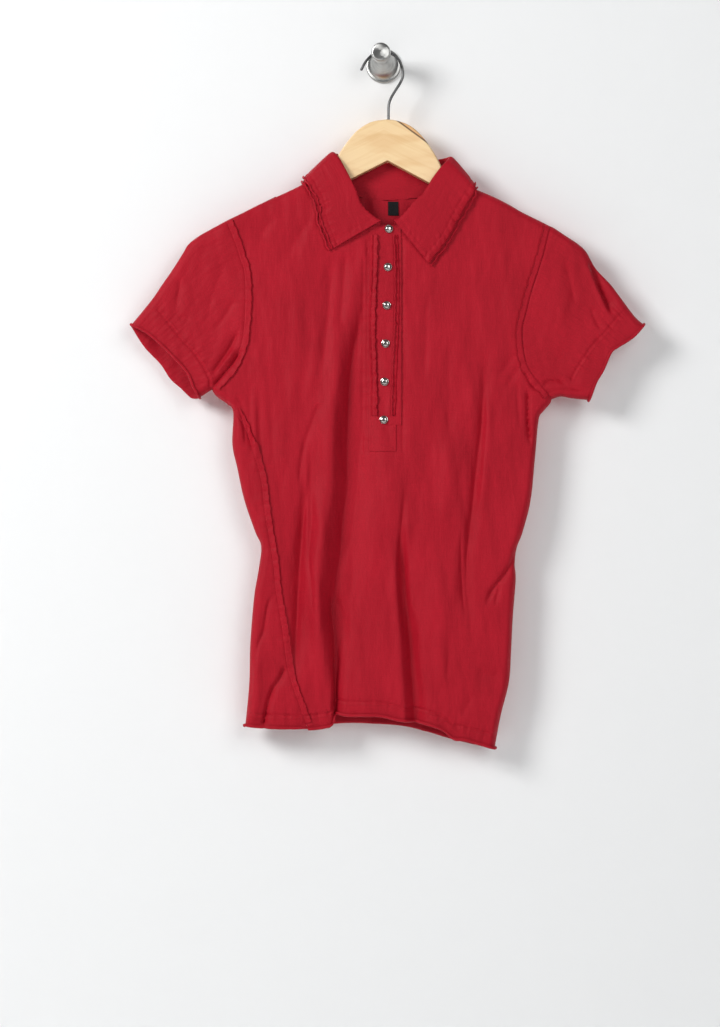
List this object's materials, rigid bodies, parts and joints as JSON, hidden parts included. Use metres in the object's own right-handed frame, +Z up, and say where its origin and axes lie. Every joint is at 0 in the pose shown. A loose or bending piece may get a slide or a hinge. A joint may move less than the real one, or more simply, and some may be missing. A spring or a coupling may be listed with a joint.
{
  "type": "polo shirt on a wooden hanger and wall hook",
  "caption": "Short-sleeved red jersey polo shirt with a pointed collar, snap placket and raw outside seams, hung on a wooden hanger from a round steel wall hook.",
  "frame": {"origin": "middle of the hook plate's flat back, on the wall", "axes": "+X to the viewer's right, +Y straight into the wall, +Z up"},
  "size_m": [0.5567, 0.0556, 0.7653],
  "materials": {
    "jersey": "thin matt cotton jersey",
    "black_tape": "woven tape, left bare",
    "chrome": "domed press snaps",
    "pine": "clear varnish",
    "steel": "satin"
  },
  "bodies": {
    "root": {"front": "jersey", "back": "jersey", "sleeve_left": "jersey", "sleeve_right": "jersey", "collar": "jersey", "collar_under": "jersey", "placket_band": "jersey", "placket_edge_left": "jersey", "placket_edge_right": "jersey", "armhole_strip_left": "jersey", "armhole_strip_left_back": "jersey", "armhole_strip_right": "jersey", "armhole_strip_right_back": "jersey", "side_strip_left": "jersey", "neck_label": "black_tape", "snap_1": "chrome", "snap_2": "chrome", "snap_3": "chrome", "snap_4": "chrome", "snap_5": "chrome", "snap_6": "chrome", "hanger": "pine", "hanger_hook": "steel", "hook_plate": "steel", "hook_knob": "steel"}
  },
  "joints": []
}
